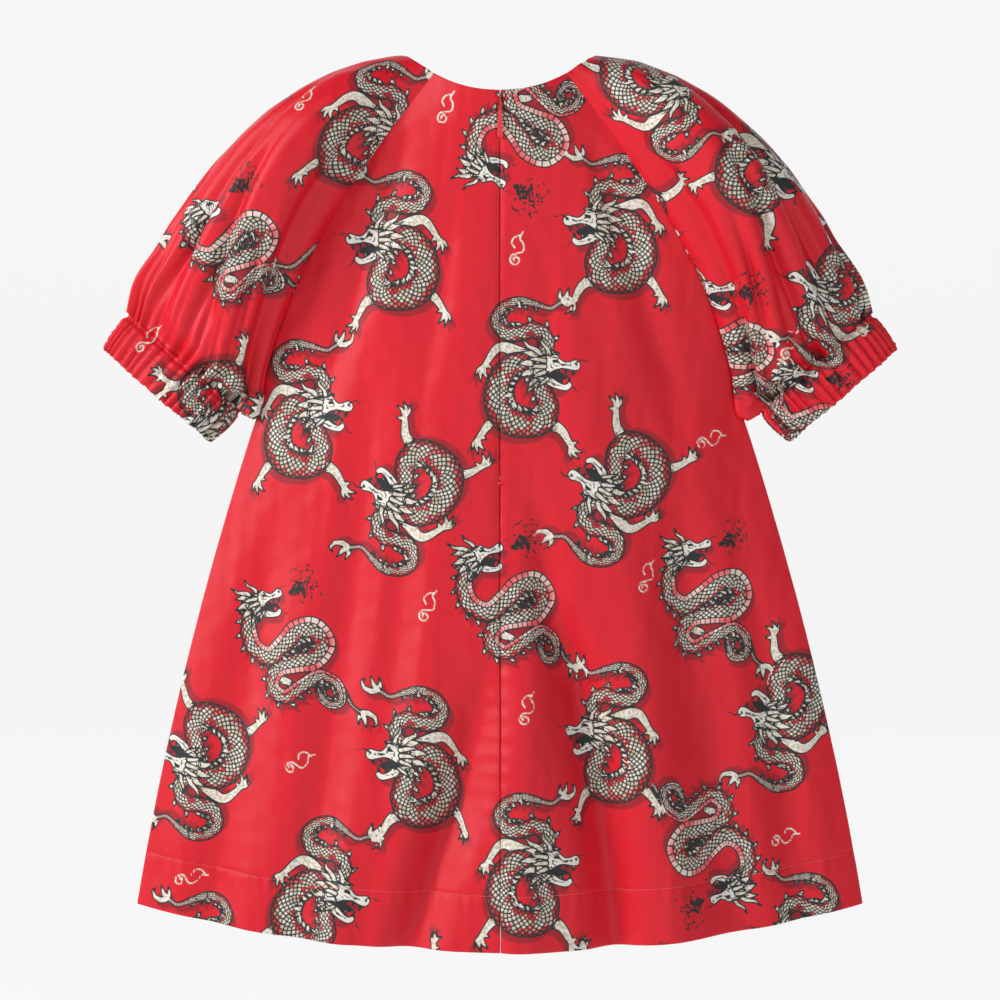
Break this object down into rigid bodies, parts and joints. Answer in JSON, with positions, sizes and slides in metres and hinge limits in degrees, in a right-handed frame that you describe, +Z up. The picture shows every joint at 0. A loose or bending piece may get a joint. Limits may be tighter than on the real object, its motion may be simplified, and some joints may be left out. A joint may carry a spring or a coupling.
{
  "type": "child's dress",
  "caption": "Child's A-line dress with raglan puff sleeves, elasticated cuffs, a round neck and a concealed centre-back zip that opens, lined and hemmed.",
  "frame": {"origin": "midway between the two high shoulder points, at the height where a hanger or shoulders carry the dress", "axes": "+Z up as the dress hangs, -Y towards the dress's back (the zip side), +X towards the wearer's right"},
  "size_m": [0.5562, 0.119, 0.6205],
  "materials": {
    "dress_cloth": "printed red satin-faced weave with a soft sheen",
    "facing_cloth": "plain red weave",
    "lining_cloth": "thin plain red lining weave",
    "elastic": "braided white elastic",
    "thread": "polyester sewing thread",
    "zip_tape": "knitted red tape",
    "zip_coil": "red polyester coil",
    "zip_enamel": "red enamel on die-cast metal",
    "zip_stop_metal": "crimped bright metal",
    "label_cloth": "white satin ribbon, blank"
  },
  "bodies": {
    "dress": {"back_panel_left": "dress_cloth", "back_panel_right": "dress_cloth", "care_label": "label_cloth", "cuff_elastic_left": "elastic", "cuff_elastic_right": "elastic", "cuff_thread_left": "thread", "cuff_thread_right": "thread", "front_panel": "dress_cloth", "hem_thread": "thread", "lining_back_left": "lining_cloth", "lining_back_right": "lining_cloth", "lining_front": "lining_cloth", "neck_facing_back_left": "facing_cloth", "neck_facing_back_right": "facing_cloth", "neck_facing_front": "facing_cloth", "sleeve_left": "dress_cloth", "sleeve_right": "dress_cloth", "zip_bar_tack": "thread", "zip_bottom_stop": "zip_stop_metal", "zip_coil_left": "zip_coil", "zip_coil_right": "zip_coil", "zip_tape_left": "zip_tape", "zip_tape_right": "zip_tape", "zip_top_stops": "zip_stop_metal"},
    "slider": {"zip_slider": "zip_enamel"},
    "puller": {"zip_puller": "zip_enamel"}
  },
  "joints": [
    {"name": "zip_slide", "type": "slide", "parent": "dress", "child": "slider", "axis": [0, 0, -1], "range_m": [0, 0.251]},
    {"name": "puller_swing", "type": "hinge", "parent": "slider", "child": "puller", "pos_m": [0, -0.0423, -0.0405], "axis": [-1, 0, 0], "range_deg": [0, 165]}
  ]
}
